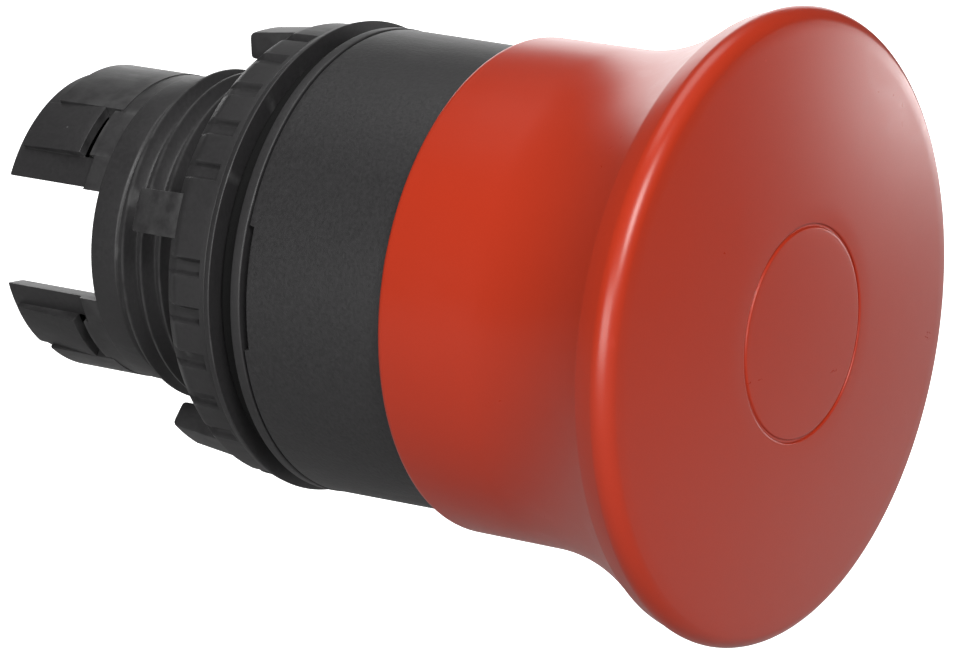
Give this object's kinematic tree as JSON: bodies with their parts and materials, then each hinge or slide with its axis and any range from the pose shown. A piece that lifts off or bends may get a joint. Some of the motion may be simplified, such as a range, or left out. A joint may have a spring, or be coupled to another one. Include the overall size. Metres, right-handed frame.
{
  "type": "emergency stop button",
  "caption": "Red mushroom push-to-latch emergency stop head for a 22 mm panel hole, with sleeve, gasket, threaded body, ring nut and rear fingers for a contact block.",
  "frame": {"origin": "on the axis of the head, in the plane of the panel's front face, which is the gasket's rear face", "axes": "+Y along the axis, from the mushroom towards the fingers behind the panel; +X and +Z across it, with the two finger gaps at +X and -X"},
  "size_m": [0.04, 0.0562, 0.04],
  "materials": {
    "red_plastic": "satin moulded",
    "black_plastic": "fine grained",
    "washer_plastic": "smooth",
    "seal_rubber": "matt",
    "ivory_plastic": "natural moulded",
    "plated_steel": "plated",
    "spring_steel": "drawn wire"
  },
  "bodies": {
    "housing": {"operator_body": "black_plastic", "bezel_sleeve": "black_plastic", "skirt_wiper": "seal_rubber", "panel_gasket": "seal_rubber", "stem_seal": "seal_rubber", "return_spring": "spring_steel", "detent_cage": "ivory_plastic", "detent_ball_1": "plated_steel", "detent_ball_2": "plated_steel", "detent_ball_3": "plated_steel", "detent_ball_4": "plated_steel", "detent_spring": "spring_steel"},
    "button": {"mushroom_cap": "red_plastic", "cap_center_disc": "red_plastic", "cap_screw": "plated_steel", "cap_washer": "plated_steel", "spindle": "ivory_plastic", "spindle_clip": "spring_steel", "rear_pusher": "ivory_plastic"},
    "washer": {"thrust_washer": "washer_plastic"},
    "nut": {"ring_nut": "black_plastic"}
  },
  "joints": [
    {"name": "press", "type": "slide", "parent": "housing", "child": "button", "axis": [0, 1, 0], "range_m": [0, 0.006], "deforming": ["return_spring"]},
    {"name": "nut_advance", "type": "slide", "parent": "housing", "child": "washer", "axis": [0, 1, 0], "range_m": [0, 0.006]},
    {"name": "nut_turn", "type": "hinge", "parent": "washer", "child": "nut", "pos_m": [0, 0.0027, 0], "axis": [0, 1, 0], "range_deg": [0, 1440]}
  ],
  "couplings": [
    {"joint": "nut_advance", "follows": "nut_turn", "m_per_rad": 0.00023873}
  ]
}
